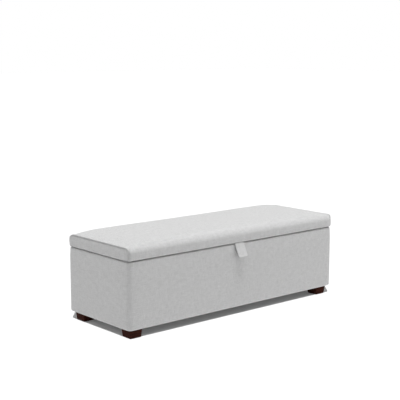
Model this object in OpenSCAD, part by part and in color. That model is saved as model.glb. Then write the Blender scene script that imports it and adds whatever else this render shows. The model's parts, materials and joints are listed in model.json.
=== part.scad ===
// Upholstered storage bench: a padded box on four block feet, closed by a padded lid that
// tips up on three rear hinges and is held open by two gas struts.
//
// X runs along the bench, +Y points to its rear and +Z up. The origin is on the floor below
// the middle of the whole outline, so the box itself sits middle_y behind it.

/* [Bench] */
// Length of the bench
bench_w = 1350; // [1150:10:1550]
// Depth of the bench
bench_d = 488; // [460:4:560]
// Height of the seat above the floor
bench_h = 431; // [428:1:480]
// Height of the underside of the box
foot_h = 45; // [40:1:50]
// Radius of the upright corners
corner_r = 25; // [20:1:40]

/* [Lid] */
// Thickness of the upholstered lid
lid_h = 64.5; // [60:0.5:70]
// Gap between the lid and the box
seam_gap = 4; // [4:0.5:6]

/* [Materials] */
// Thickness of the cover fabric with its backing
fabric_t = 2; // [1:0.5:3]
// Thickness of the foam on the sides of the box
pad_t = 12; // [8:1:20]
// Thickness of the side panels
panel_t = 15; // [12:1:18]
// Thickness of the lid board and the base board
board_t = 12; // [9:1:15]

/* [Feet] */
// Width of a foot where it meets the box
foot_top_w = 70; // [60:1:80]
// Width of a foot at the floor
foot_bottom_w = 61; // [50:1:70]
// Distance of a foot's lower edge from the sides of the box
foot_inset = 27; // [20:1:40]

/* [Pull tab] */
// Width of the tab
tab_w = 60; // [40:1:80]
// Length of the hanging part
tab_len = 70; // [50:1:90]
// Lean of the tab away from the front of the box
tab_lean = 19; // [10:1:30]

/* [Hidden] */
$fn = 48;

// Colours
fabric_grey = [0.78, 0.78, 0.78];
walnut = [0.22, 0.13, 0.11];
plywood = [0.80, 0.66, 0.46];
foam_cream = [0.93, 0.90, 0.80];
black_cloth = [0.10, 0.10, 0.11];
steel = [0.72, 0.73, 0.75];
black_paint = [0.08, 0.08, 0.08];
black_rubber = [0.12, 0.12, 0.12];

// Clearances
slip = 0.1;
pin_play = 0.05;
cloth_gap = 0.05;
cut = 1;

// Hinge: the axis is level with the middle of the seam, just behind the box
barrel_r = 4;
pin_r = 2;
leaf_t = 1.6;
leaf_w = 75;
knuckle_count = 5;
knuckle_gap = 0.2;
barrel_clearance = 0.5;
leaf_start = barrel_r + 2 * barrel_clearance;
hinge_back = barrel_r + barrel_clearance;
hinge_margin = 195;
hinge_count = 3;

// Pull tab
tab_t = 3.5;
tab_root = 2.5;
tab_anchor_depth = 37;
tab_anchor_t = 2.2;
tab_anchor_gap = 0.3;

// Outline in Y, balanced about the origin to the nearest hundredth
tab_reach = tab_root + tab_len * sin(tab_lean) + tab_t / 2 * cos(tab_lean);
hinge_reach = hinge_back + barrel_r;
middle_y = round(50 * (tab_reach - hinge_reach)) / 100;
front_y = middle_y - bench_d / 2;
rear_y = middle_y + bench_d / 2;

// Heights
lid_bottom = bench_h - lid_h;
box_top = lid_bottom - seam_gap;
panel_bottom = foot_h + fabric_t;
panel_top = box_top - fabric_t;
panel_h = panel_top - panel_bottom;
rail_h = 22;
rail_w = 45;
base_z = panel_bottom + rail_h;
board_z = lid_bottom + fabric_t;
lining_t = 1;
hem_w = 40;
lid_hem_end = 25;

// Carcass faces, measured from the middle of the box
outer_x = bench_w / 2 - fabric_t - pad_t;
outer_y = bench_d / 2 - fabric_t - pad_t;
inner_x = outer_x - panel_t;
inner_y = outer_y - panel_t;

// Lid edges: softly rounded at the front, almost a half round at the rear, where it is set in
lid_front_top_r = 30;
lid_front_bottom_r = 12;
lid_rear_top_r = 38;
lid_rear_bottom_r = lid_h - lid_rear_top_r;
lid_setback = 6;
piping_out = 1.2;
piping_w = 4;

// Hinge axis
hinge_y = rear_y + hinge_back;
hinge_z = lid_bottom - seam_gap / 2;
screw_row = hinge_back + fabric_t + pad_t + panel_t / 2;
leaf_reach = screw_row + panel_t / 2;
hinge_span = bench_w / 2 - hinge_margin;
hinge_x = [for (i = [0 : hinge_count - 1]) -hinge_span + 2 * hinge_span * i / (hinge_count - 1)];
hinge_screw_x = [-26, 0, 26];
hinge_screw_r = 1.9;
hinge_screw_head_r = 3.4;
box_screw_len = 16;
lid_screw_len = 13;

// Corner blocks, feet and their fixings
block_w = 90;
foot_x = bench_w / 2 - foot_inset - foot_bottom_w / 2;
foot_y = bench_d / 2 - foot_inset - foot_bottom_w / 2;
glide_t = 2;
glide_r = 12;
glide_nail_r = 1.5;
glide_nail_len = 14;
stud_r = 4;
stud_bottom = 20;
stud_grip = 18;
stud_top = panel_bottom + stud_grip;
insert_r = 5.5;
insert_len = 15;
cross_rail_share = 0.145;
cross_rail_x = cross_rail_share * bench_w;

// Screws that hold the carcass corners
carcass_screw_r = 2.5;
carcass_screw_len = 45;
carcass_screw_z = [for (share = [0.15, 0.5, 0.85]) panel_bottom + share * panel_h];

// Bumpers on the rim
bumper_r = 6;
bumper_relief = 0.2;
bumper_h = seam_gap - bumper_relief;
bumper_inset = 75;
bumper_x = bench_w / 2 - bumper_inset;

// Gas struts: pivots given as [forward of, below] the hinge axis
strut_foot = [95, 245];
strut_head = [150, 20];
strut_wall_gap = 16;
strut_x = inner_x - lining_t - strut_wall_gap;
strut_run = [strut_head[0] - strut_foot[0], strut_foot[1] - strut_head[1]];
strut_closed = norm(strut_run);
strut_tilt = atan2(strut_run[0], strut_run[1]);
strut_tube_r = 8;
strut_tube_len = 205;
strut_rod_r = 4;
strut_rod_inner_end = 30;
strut_bore_start = 28;
strut_eye_r = 8;
strut_eye_w = 8;
strut_neck_r = 5;
strut_pin_r = 4;
strut_head_gap = 0.5;
bracket_t = 2;
bracket_half = 18;
bracket_screw_pitch = 12;
bracket_screw_r = 1.9;
bracket_screw_len = 12;
bracket_screw_head_h = 1.6;
bracket_screw_head_r = 3.8;

SIDES = [-1, 1];

// Shared shapes -------------------------------------------------------------------------

// Box between two corners
module block(low, high) {
    translate(low) cube(high - low);
}

// Plan of the upholstered box, drawn inset inside its outer faces
module plan(inset = 0) {
    r = corner_r - inset;
    x = bench_w / 2 - inset;
    y = bench_d / 2 - inset;
    translate([0, middle_y]) {
        square([2 * x, 2 * (y - r)], center = true);
        square([2 * (x - r), 2 * y], center = true);
        for (sx = SIDES, sy = SIDES) {
            translate([sx * (x - r), sy * (y - r)]) circle(r);
        }
    }
}

// Plan rectangle about the middle of the box
module plan_rectangle(half_x, half_y) {
    translate([0, middle_y]) square([2 * half_x, 2 * half_y], center = true);
}

// Quarter disc whose round side points the way that the signs say
module quarter(centre, r, sy, sz) {
    translate(centre) intersection() {
        circle(r);
        translate([sy > 0 ? 0 : -r, sz > 0 ? 0 : -r]) square(r);
    }
}

// End outline of the lid: the first axis is Y and the second Z. inset draws it smaller.
module lid_profile(inset = 0) {
    ft = lid_front_top_r - inset;
    fb = lid_front_bottom_r - inset;
    rt = lid_rear_top_r - inset;
    rb = lid_rear_bottom_r - inset;
    f = front_y + inset;
    r = rear_y - lid_setback - inset;
    b = lid_bottom + inset;
    t = bench_h - inset;
    polygon([
        [f, b + fb], [f + fb, b + fb], [f + fb, b], [r - rb, b], [r - rb, b + rb],
        [r - rt, b + rb], [r - rt, t], [f + ft, t], [f + ft, t - ft], [f, t - ft]
    ]);
    quarter([f + ft, t - ft], ft, -1, 1);
    quarter([f + fb, b + fb], fb, -1, -1);
    quarter([r - rt, t - rt], rt, 1, 1);
    quarter([r - rb, b + rb], rb, 1, -1);
}

// Extrudes an outline drawn in Y and Z from x_low to x_high
module along_x(x_low, x_high) {
    translate([x_low, 0, 0]) rotate([90, 0, 90]) linear_extrude(x_high - x_low) children();
}

// Rod along X, from x_low to x_high, about [y, z]
module rod_x(x_low, x_high, y, z, r) {
    translate([min(x_low, x_high), y, z]) rotate([0, 90, 0]) cylinder(h = abs(x_high - x_low), r = r);
}

// Countersunk screw that points down from z = 0
module countersunk_screw(r, head_r, length, head_h) {
    translate([0, 0, -length]) cylinder(h = length - head_h, r = r);
    translate([0, 0, -head_h]) cylinder(h = head_h, r1 = r, r2 = head_r);
}

// Carcass -------------------------------------------------------------------------------

module at_carcass_screws() {
    for (sx = SIDES, sy = SIDES, z = carcass_screw_z) {
        translate([sx * (outer_x - panel_t / 2), middle_y + sy * outer_y, z]) {
            rotate([sy * 90, 0, 0]) children();
        }
    }
}

module carcass_screw_holes() {
    at_carcass_screws() {
        translate([0, 0, -cut]) cylinder(h = carcass_screw_len + cut + slip, r = carcass_screw_r + slip);
    }
}

module carcass_screws() {
    color(steel) at_carcass_screws() cylinder(h = carcass_screw_len, r = carcass_screw_r);
}

module at_box_hinge_screws() {
    for (hx = hinge_x, x = hinge_screw_x) {
        translate([hx + x, hinge_y - screw_row, box_top + leaf_t]) children();
    }
}

module box_hinge_screw_holes() {
    at_box_hinge_screws() translate([0, 0, -box_screw_len - slip]) {
        cylinder(h = box_screw_len + cut, r = hinge_screw_r + slip);
    }
}

module long_panel(side) {
    y = side < 0 ? -outer_y : inner_y;
    color(plywood) difference() {
        block([-outer_x, middle_y + y, panel_bottom], [outer_x, middle_y + y + panel_t, panel_top]);
        carcass_screw_holes();
        if (side > 0) box_hinge_screw_holes();
    }
}

module at_box_bracket_screws(side) {
    x = side * (inner_x - lining_t - bracket_t);
    for (dz = [-bracket_screw_pitch, bracket_screw_pitch]) {
        translate([x, hinge_y - strut_foot[0], hinge_z - strut_foot[1] + dz]) {
            rotate([0, side * 90, 0]) children();
        }
    }
}

module box_bracket_screw_holes(side) {
    at_box_bracket_screws(side) cylinder(h = bracket_screw_len + slip, r = bracket_screw_r + slip);
}

module end_panel(side) {
    x = side < 0 ? -outer_x : inner_x;
    color(plywood) difference() {
        block([x, middle_y - inner_y, panel_bottom], [x + panel_t, middle_y + inner_y, panel_top]);
        carcass_screw_holes();
        box_bracket_screw_holes(side);
    }
}

module front_panel() { long_panel(-1); }

module back_panel() { long_panel(1); }

module left_end_panel() { end_panel(-1); }

module right_end_panel() { end_panel(1); }

module base_board() {
    color(plywood) {
        block([-inner_x, middle_y - inner_y, base_z], [inner_x, middle_y + inner_y, base_z + board_t]);
    }
}

module long_rail(side) {
    y = side < 0 ? -inner_y : inner_y - rail_w;
    x = inner_x - block_w;
    color(plywood) block([-x, middle_y + y, panel_bottom], [x, middle_y + y + rail_w, base_z]);
}

module front_rail() { long_rail(-1); }

module back_rail() { long_rail(1); }

module cross_rail(side) {
    x = side * cross_rail_x - rail_w / 2;
    y = inner_y - rail_w;
    color(plywood) block([x, middle_y - y, panel_bottom], [x + rail_w, middle_y + y, base_z]);
}

module left_cross_rail() { cross_rail(-1); }

module right_cross_rail() { cross_rail(1); }

module corner_blocks() {
    color(plywood) for (sx = SIDES, sy = SIDES) {
        x = sx < 0 ? -inner_x : inner_x - block_w;
        y = sy < 0 ? middle_y - inner_y : middle_y + inner_y - block_w;
        difference() {
            block([x, y, panel_bottom], [x + block_w, y + block_w, base_z]);
            at_foot(sx, sy) {
                translate([0, 0, panel_bottom - cut]) {
                    cylinder(h = insert_len + cut + slip, r = insert_r + slip);
                    cylinder(h = stud_grip + cut + slip, r = stud_r + slip);
                }
            }
        }
    }
}

// Padding, cover and linings of the box -------------------------------------------------

module long_pad(side) {
    y = side < 0 ? -bench_d / 2 : outer_y;
    color(foam_cream) translate([0, 0, panel_bottom]) linear_extrude(panel_h) intersection() {
        plan(fabric_t);
        translate([-bench_w / 2, middle_y + y]) square([bench_w, fabric_t + pad_t]);
    }
}

module end_pad(side) {
    x = side < 0 ? -bench_w / 2 : outer_x;
    color(foam_cream) translate([0, 0, panel_bottom]) linear_extrude(panel_h) intersection() {
        plan(fabric_t);
        translate([x, middle_y - outer_y]) square([fabric_t + pad_t, 2 * outer_y]);
    }
}

module front_pad() { long_pad(-1); }

module back_pad() { long_pad(1); }

module left_pad() { end_pad(-1); }

module right_pad() { end_pad(1); }

// The cover wraps the sides, turns in over the rim and is hemmed under the box
module box_cover() {
    color(fabric_grey) difference() {
        translate([0, 0, foot_h]) linear_extrude(box_top - foot_h) plan();
        translate([0, 0, panel_bottom]) linear_extrude(panel_h) plan(fabric_t);
        translate([0, 0, panel_top - cut]) linear_extrude(fabric_t + 2 * cut) {
            plan_rectangle(inner_x, inner_y);
        }
        translate([0, 0, foot_h - cut]) linear_extrude(fabric_t + 2 * cut) {
            plan_rectangle(bench_w / 2 - hem_w, bench_d / 2 - hem_w);
        }
        box_hinge_screw_holes();
    }
}

module box_lining() {
    z = base_z + board_t;
    color(black_cloth) difference() {
        translate([0, 0, z]) linear_extrude(panel_top - z) {
            plan_rectangle(inner_x - cloth_gap, inner_y - cloth_gap);
        }
        translate([0, 0, z + lining_t]) linear_extrude(panel_top) {
            plan_rectangle(inner_x - lining_t, inner_y - lining_t);
        }
        for (side = SIDES) box_bracket_screw_holes(side);
    }
}

module dust_cover() {
    color(black_cloth) difference() {
        translate([0, 0, foot_h]) linear_extrude(lining_t) {
            plan_rectangle(bench_w / 2 - hem_w, bench_d / 2 - hem_w);
        }
        for (sx = SIDES, sy = SIDES) {
            at_foot(sx, sy) translate([0, 0, foot_h - cut]) {
                cylinder(h = lining_t + 2 * cut, r = stud_r + slip);
            }
        }
    }
}

// Feet ----------------------------------------------------------------------------------

module at_foot(sx, sy) {
    translate([sx * foot_x, middle_y + sy * foot_y, 0]) children();
}

// Tapered block with a blind hole for its stud and a small one for the glide's nail
module foot(sx, sy) {
    color(walnut) at_foot(sx, sy) difference() {
        translate([0, 0, glide_t]) {
            linear_extrude(foot_h - glide_t, scale = foot_top_w / foot_bottom_w) {
                square(foot_bottom_w, center = true);
            }
        }
        translate([0, 0, stud_bottom - slip]) cylinder(h = foot_h, r = stud_r + slip);
        cylinder(h = glide_t + glide_nail_len + slip, r = glide_nail_r + slip);
    }
}

module foot_front_left() { foot(-1, -1); }

module foot_front_right() { foot(1, -1); }

module foot_rear_left() { foot(-1, 1); }

module foot_rear_right() { foot(1, 1); }

module foot_studs() {
    color(steel) for (sx = SIDES, sy = SIDES) {
        at_foot(sx, sy) translate([0, 0, stud_bottom]) cylinder(h = stud_top - stud_bottom, r = stud_r);
    }
}

module foot_inserts() {
    color(steel) for (sx = SIDES, sy = SIDES) {
        at_foot(sx, sy) translate([0, 0, panel_bottom]) difference() {
            cylinder(h = insert_len, r = insert_r);
            translate([0, 0, -cut]) cylinder(h = insert_len + 2 * cut, r = stud_r + slip);
        }
    }
}

module foot_glides() {
    color(black_rubber) for (sx = SIDES, sy = SIDES) {
        at_foot(sx, sy) {
            cylinder(h = glide_t, r = glide_r);
            cylinder(h = glide_t + glide_nail_len, r = glide_nail_r);
        }
    }
}

// Hinges --------------------------------------------------------------------------------

module at_hinge(index) {
    translate([hinge_x[index], hinge_y, hinge_z]) children();
}

// One leaf about its axis. side is -1 for the leaf on the box and 1 for the leaf on the lid;
// its knuckles take every second place along the barrel, from the place first.
module hinge_leaf(side, first) {
    pitch = leaf_w / knuckle_count;
    z_low = side < 0 ? -seam_gap / 2 : seam_gap / 2 - leaf_t;
    difference() {
        union() {
            block([-leaf_w / 2, -leaf_reach, z_low], [leaf_w / 2, -leaf_start, z_low + leaf_t]);
            for (i = [first : 2 : knuckle_count - 1]) {
                x = -leaf_w / 2 + i * pitch + knuckle_gap;
                w = pitch - 2 * knuckle_gap;
                block([x, -leaf_start - cut, z_low], [x + w, 0, z_low + leaf_t]);
                rod_x(x, x + w, 0, 0, barrel_r);
            }
        }
        rod_x(-leaf_w, leaf_w, 0, 0, pin_r + pin_play);
        for (x = hinge_screw_x) {
            translate([x, -screw_row, 0]) mirror([0, 0, side < 0 ? 0 : 1]) {
                translate([0, 0, -seam_gap / 2 - cut]) cylinder(h = seam_gap, r = hinge_screw_r + slip);
                translate([0, 0, -seam_gap / 2]) {
                    cylinder(h = leaf_t, r1 = hinge_screw_r + slip, r2 = hinge_screw_head_r + slip);
                }
            }
        }
    }
}

module box_hinge_leaf_left() { color(steel) at_hinge(0) hinge_leaf(-1, 0); }

module box_hinge_leaf_middle() { color(steel) at_hinge(1) hinge_leaf(-1, 0); }

module box_hinge_leaf_right() { color(steel) at_hinge(hinge_count - 1) hinge_leaf(-1, 0); }

module lid_hinge_leaf_left() { color(steel) at_hinge(0) hinge_leaf(1, 1); }

module lid_hinge_leaf_middle() { color(steel) at_hinge(1) hinge_leaf(1, 1); }

module lid_hinge_leaf_right() { color(steel) at_hinge(hinge_count - 1) hinge_leaf(1, 1); }

module hinge_pins() {
    color(steel) for (i = [0 : hinge_count - 1]) {
        at_hinge(i) rod_x(-leaf_w / 2, leaf_w / 2, 0, 0, pin_r);
    }
}

module box_hinge_screws() {
    color(steel) at_box_hinge_screws() {
        countersunk_screw(hinge_screw_r, hinge_screw_head_r, box_screw_len, leaf_t);
    }
}

module at_lid_hinge_screws() {
    for (hx = hinge_x, x = hinge_screw_x) {
        translate([hx + x, hinge_y - screw_row, lid_bottom - leaf_t]) mirror([0, 0, 1]) children();
    }
}

module lid_hinge_screw_holes() {
    at_lid_hinge_screws() translate([0, 0, -lid_screw_len - slip]) {
        cylinder(h = lid_screw_len + cut, r = hinge_screw_r + slip);
    }
}

module lid_hinge_screws() {
    color(steel) at_lid_hinge_screws() {
        countersunk_screw(hinge_screw_r, hinge_screw_head_r, lid_screw_len, leaf_t);
    }
}

module lid_bumpers() {
    color(black_rubber) for (sx = SIDES, sy = SIDES) {
        translate([sx * bumper_x, middle_y + sy * (outer_y - panel_t / 2), box_top]) {
            cylinder(h = bumper_h, r = bumper_r);
        }
    }
}

// Lid -----------------------------------------------------------------------------------

module lid_board_blank() {
    block([-outer_x, middle_y - outer_y, board_z], [outer_x, middle_y + outer_y, board_z + board_t]);
}

// Its rear lower edge is rounded to follow the cover
module lid_board() {
    color(plywood) difference() {
        intersection() {
            lid_board_blank();
            along_x(-bench_w / 2, bench_w / 2) lid_profile(fabric_t + cloth_gap);
        }
        lid_hinge_screw_holes();
        for (side = SIDES) lid_bracket_screw_holes(side);
    }
}

module lid_foam() {
    x = bench_w / 2 - fabric_t;
    color(foam_cream) difference() {
        along_x(-x, x) lid_profile(fabric_t);
        translate([0, 0, -cut]) lid_board_blank();
        lid_board_blank();
    }
}

// The lid's cover runs over the front, top and rear and is hemmed on the underside
module lid_cover() {
    x = bench_w / 2 - fabric_t;
    color(fabric_grey) difference() {
        along_x(-x, x) lid_profile();
        along_x(-x - cut, x + cut) lid_profile(fabric_t);
        block(
            [lid_hem_end - bench_w / 2, front_y + hem_w, lid_bottom - cut],
            [bench_w / 2 - lid_hem_end, rear_y - hem_w, board_z + cut]
        );
        lid_hinge_screw_holes();
    }
}

module lid_end(side) {
    x = side < 0 ? -bench_w / 2 : bench_w / 2 - fabric_t;
    color(fabric_grey) along_x(x, x + fabric_t) lid_profile();
}

module lid_end_left() { lid_end(-1); }

module lid_end_right() { lid_end(1); }

// Piping in the seam between the cover and an end: it follows the edge above the underside
module lid_piping(side) {
    x = side < 0 ? -bench_w / 2 : bench_w / 2 - piping_w;
    color(fabric_grey) along_x(x, x + piping_w) difference() {
        lid_profile(-piping_out);
        lid_profile();
        translate([front_y - hem_w, lid_bottom - hem_w]) square([bench_d + 2 * hem_w, hem_w]);
    }
}

module lid_piping_left() { lid_piping(-1); }

module lid_piping_right() { lid_piping(1); }

module lid_lining() {
    color(black_cloth) difference() {
        block(
            [lid_hem_end - bench_w / 2, front_y + hem_w, board_z - lining_t],
            [bench_w / 2 - lid_hem_end, rear_y - hem_w, board_z]
        );
        for (side = SIDES) lid_bracket_screw_holes(side);
    }
}

// Pull tab: the anchor is fixed under the lid's front edge and the tab hangs from it
module tab_anchor() {
    color(fabric_grey) {
        block(
            [-tab_w / 2, front_y - tab_root + tab_t / 2 + tab_anchor_gap, lid_bottom - tab_anchor_t],
            [tab_w / 2, front_y + tab_anchor_depth, lid_bottom]
        );
    }
}

module pull_tab() {
    color(fabric_grey) translate([0, front_y - tab_root, lid_bottom - tab_anchor_t]) {
        rotate([-tab_lean, 0, 0]) {
            rod_x(-tab_w / 2, tab_w / 2, 0, 0, tab_t / 2);
            block([-tab_w / 2, -tab_t / 2, -tab_len], [tab_w / 2, tab_t / 2, 0]);
        }
    }
}

// Gas struts ----------------------------------------------------------------------------

// Places a strut's parts with z = 0 at its foot pivot and +z along the strut
module at_strut(side) {
    translate([side * strut_x, hinge_y - strut_foot[0], hinge_z - strut_foot[1]]) {
        rotate([strut_tilt, 0, 0]) children();
    }
}

module strut_eye(z) {
    translate([0, 0, z]) rod_x(-strut_eye_w / 2, strut_eye_w / 2, 0, 0, strut_eye_r);
}

module strut_eye_hole(z) {
    translate([0, 0, z]) rod_x(-strut_eye_w, strut_eye_w, 0, 0, strut_pin_r + pin_play);
}

module strut_tube(side) {
    color(black_paint) at_strut(side) difference() {
        union() {
            strut_eye(0);
            cylinder(h = strut_bore_start, r = strut_neck_r);
            translate([0, 0, 2 * strut_eye_r]) {
                cylinder(h = strut_tube_len - 2 * strut_eye_r, r = strut_tube_r);
            }
        }
        strut_eye_hole(0);
        translate([0, 0, strut_bore_start]) cylinder(h = strut_tube_len, r = strut_rod_r + pin_play);
    }
}

module strut_rod(side) {
    color(steel) at_strut(side) difference() {
        union() {
            translate([0, 0, strut_rod_inner_end]) {
                cylinder(h = strut_closed - strut_rod_inner_end, r = strut_rod_r);
            }
            strut_eye(strut_closed);
        }
        strut_eye_hole(strut_closed);
    }
}

// Plate on the end wall with the pin that the strut's foot turns on
module strut_bracket(side) {
    wall = inner_x - lining_t;
    y = hinge_y - strut_foot[0];
    z = hinge_z - strut_foot[1];
    pin_end = strut_x - strut_eye_w / 2 - bracket_t;
    color(steel) difference() {
        union() {
            x = side < 0 ? -wall : wall - bracket_t;
            block(
                [x, y - bracket_half, z - bracket_half],
                [x + bracket_t, y + bracket_half, z + bracket_half]
            );
            rod_x(side * pin_end, side * (wall - cut), y, z, strut_pin_r);
            rod_x(side * (pin_end - bracket_t), side * (pin_end + slip), y, z, strut_pin_r + bracket_t);
        }
        box_bracket_screw_holes(side);
    }
}

module strut_bracket_left() { strut_bracket(-1); }

module strut_bracket_right() { strut_bracket(1); }

module strut_bracket_screws() {
    color(steel) for (side = SIDES) {
        at_box_bracket_screws(side) {
            cylinder(h = bracket_screw_len, r = bracket_screw_r);
            translate([0, 0, -bracket_screw_head_h]) {
                cylinder(h = bracket_screw_head_h, r = bracket_screw_head_r);
            }
        }
    }
}

module at_lid_bracket_screws(side) {
    z = board_z - lining_t - bracket_t;
    for (dx = [bracket_screw_pitch, 2 * bracket_screw_pitch]) {
        x = strut_x + strut_wall_gap / 2 - dx;
        translate([side * x, hinge_y - strut_head[0], z]) children();
    }
}

module lid_bracket_screw_holes(side) {
    at_lid_bracket_screws(side) cylinder(h = bracket_screw_len + slip, r = bracket_screw_r + slip);
}

// Angle under the lid with the short boss that faces the eye at the strut's head
module lid_strut_bracket(side) {
    y = hinge_y - strut_head[0];
    z = hinge_z - strut_head[1];
    top = board_z - lining_t;
    boss_x = strut_x + strut_eye_w / 2 + strut_head_gap;
    web_x = strut_x + strut_eye_w / 2 + 2 * bracket_t;
    flange_x = web_x - 2 * bracket_half;
    color(steel) difference() {
        union() {
            block(
                [side < 0 ? -web_x : flange_x, y - bracket_half, top - bracket_t],
                [side < 0 ? -flange_x : web_x, y + bracket_half, top]
            );
            block(
                [side < 0 ? -web_x : web_x - bracket_t, y - bracket_screw_pitch, z - 2 * strut_pin_r],
                [side < 0 ? bracket_t - web_x : web_x, y + bracket_screw_pitch, top]
            );
            rod_x(side * boss_x, side * (web_x - cut), y, z, strut_pin_r);
        }
        lid_bracket_screw_holes(side);
    }
}

module lid_strut_bracket_left() { lid_strut_bracket(-1); }

module lid_strut_bracket_right() { lid_strut_bracket(1); }

module lid_strut_bracket_screws() {
    color(steel) for (side = SIDES) {
        at_lid_bracket_screws(side) {
            cylinder(h = bracket_screw_len, r = bracket_screw_r);
            translate([0, 0, -bracket_screw_head_h]) {
                cylinder(h = bracket_screw_head_h, r = bracket_screw_head_r);
            }
        }
    }
}

module strut_tube_left() { strut_tube(-1); }

module strut_rod_left() { strut_rod(-1); }

module strut_tube_right() { strut_tube(1); }

module strut_rod_right() { strut_rod(1); }

// Nodes ---------------------------------------------------------------------------------

front_panel();
back_panel();
left_end_panel();
right_end_panel();
base_board();
front_rail();
back_rail();
left_cross_rail();
right_cross_rail();
corner_blocks();
carcass_screws();
front_pad();
back_pad();
left_pad();
right_pad();
box_cover();
box_lining();
dust_cover();
foot_front_left();
foot_front_right();
foot_rear_left();
foot_rear_right();
foot_studs();
foot_inserts();
foot_glides();
box_hinge_leaf_left();
box_hinge_leaf_middle();
box_hinge_leaf_right();
hinge_pins();
box_hinge_screws();
lid_bumpers();
strut_bracket_left();
strut_bracket_right();
strut_bracket_screws();
lid_board();
lid_foam();
lid_cover();
lid_end_left();
lid_end_right();
lid_piping_left();
lid_piping_right();
lid_lining();
lid_hinge_leaf_left();
lid_hinge_leaf_middle();
lid_hinge_leaf_right();
lid_hinge_screws();
lid_strut_bracket_left();
lid_strut_bracket_right();
lid_strut_bracket_screws();
tab_anchor();
pull_tab();
strut_tube_left();
strut_rod_left();
strut_tube_right();
strut_rod_right();
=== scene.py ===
"""Looks of the upholstered storage bench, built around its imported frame.

Sizes are in metres. X runs along the bench, +Y to its rear, +Z up.
"""

import json
import math

import bmesh
import bpy
import numpy as np
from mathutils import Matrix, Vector


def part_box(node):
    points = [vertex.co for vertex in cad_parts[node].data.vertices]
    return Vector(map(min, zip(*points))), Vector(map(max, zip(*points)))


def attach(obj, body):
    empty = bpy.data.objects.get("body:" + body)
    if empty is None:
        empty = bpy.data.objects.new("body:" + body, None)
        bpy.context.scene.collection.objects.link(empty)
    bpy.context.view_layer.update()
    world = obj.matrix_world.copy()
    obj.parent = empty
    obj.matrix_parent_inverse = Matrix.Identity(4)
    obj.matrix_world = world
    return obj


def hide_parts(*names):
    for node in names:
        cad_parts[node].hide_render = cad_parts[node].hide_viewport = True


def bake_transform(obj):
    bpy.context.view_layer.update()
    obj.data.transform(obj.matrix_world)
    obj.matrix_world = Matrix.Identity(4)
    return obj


MM = 0.001

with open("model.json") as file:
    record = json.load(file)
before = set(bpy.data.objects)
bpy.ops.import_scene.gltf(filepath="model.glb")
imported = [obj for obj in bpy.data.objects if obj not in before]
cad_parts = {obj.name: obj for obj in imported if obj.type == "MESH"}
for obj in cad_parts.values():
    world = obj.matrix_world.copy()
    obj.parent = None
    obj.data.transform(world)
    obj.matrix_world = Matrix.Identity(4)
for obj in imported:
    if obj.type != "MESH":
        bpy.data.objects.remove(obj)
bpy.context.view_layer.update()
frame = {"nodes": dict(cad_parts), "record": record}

# Places and sizes read from the frame ---------------------------------------------------

BOX_LOW, BOX_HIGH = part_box("box_cover")
LID_LOW, LID_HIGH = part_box("lid_end_left")
HALF_W = BOX_HIGH.x
HALF_D = (BOX_HIGH.y - BOX_LOW.y) / 2
MIDDLE_Y = (BOX_HIGH.y + BOX_LOW.y) / 2
FRONT_Y = BOX_LOW.y
REAR_Y = BOX_HIGH.y
LID_REAR_IN = 3.5 * MM
LID_REAR_Y = LID_HIGH.y - LID_REAR_IN
BOX_BOTTOM = BOX_LOW.z
BOX_TOP = BOX_HIGH.z
LID_BOTTOM = LID_LOW.z
LID_TOP = LID_HIGH.z
WALL_IN = HALF_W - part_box("box_lining")[1].x

# Shape of the upholstery
CORNER_R = 25 * MM
BOX_TOP_R = 7 * MM
BOX_BOTTOM_R = 11 * MM
HEM = 40 * MM
LID_HEM_END = 25 * MM
LID_FRONT_TOP_R = 30 * MM
LID_FRONT_BOTTOM_R = 8 * MM
LID_REAR_BOTTOM_DEEP = 12 * MM
LID_REAR_BOTTOM_HIGH = 26 * MM
LID_REAR_TOP_DEEP = 50 * MM
GRID = 9 * MM
END_COLUMNS = 89
END_ROWS = 17
END_HEM_ROWS = 4
COVER_T = 1.6 * MM
END_COVER_T = 1.2 * MM
LINING_T = 0.4 * MM
FOOT_BOTTOM_HALF = 30.5 * MM
FOOT_EDGE = 1.8 * MM
ARC_STEP = 3 * MM
SEAM_DIP = 2.0 * MM
SEAM_REACH = 14 * MM
PIPING_R = 1.9 * MM
PIPING_TUCK = 5 * MM
PIPING_TUCK_HIGH = 7 * MM
END_SEAM_DIP = 4.5 * MM
END_SEAM_REACH = 5.5 * MM
UNEVEN = 0.5 * MM
BOX_CROWN = 2.0 * MM
BOX_CORNER_DRAW = 1.0 * MM
BOX_CORNER_REACH = 24 * MM
BOX_RIM_DRAW = 2.4 * MM
BOX_RIM_REACH = 28 * MM
LID_FRONT_CORNER_R = 24 * MM
LID_REAR_CORNER_R = 10 * MM
LID_SEAM_IN = 1.5 * MM
LID_SEAM_DROP = 3 * MM
LID_CROWN = 6.5 * MM
LID_SIDE_CROWN = 1.0 * MM
LID_END_CROWN = 2.5 * MM
LID_END_ROLL = 5 * MM
LID_FOAM_END = 5.5 * MM
SIM_QUALITY = 5
SIM_PRESSURE = 4.0
SIM_FRAMES = 20
LID_SIM_CAP = 5 * MM
END_SIM_CAP = 2 * MM
BOX_SIM_CAP = 2 * MM
PAD_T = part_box("left_pad")[1].x + HALF_W
FOAM_IN = 2.2 * MM


# Small helpers --------------------------------------------------------------------------


def new_object(name, vertices, faces, smooth=True):
    """A mesh object from lists of points and faces."""
    mesh = bpy.data.meshes.new(name)
    mesh.from_pydata([tuple(v) for v in vertices], [], faces)
    mesh.update()
    mesh.polygons.foreach_set("use_smooth", [smooth] * len(mesh.polygons))
    obj = bpy.data.objects.new(name, mesh)
    bpy.context.scene.collection.objects.link(obj)
    return obj


def set_cloth_map(obj, values):
    """Stores where each vertex lies on the cloth, in metres along weft and warp."""
    attribute = obj.data.attributes.new("cloth", "FLOAT_VECTOR", "POINT")
    flat = np.zeros((len(obj.data.vertices), 3), np.float32)
    flat[:, :2] = values
    attribute.data.foreach_set("vector", flat.ravel())


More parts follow.
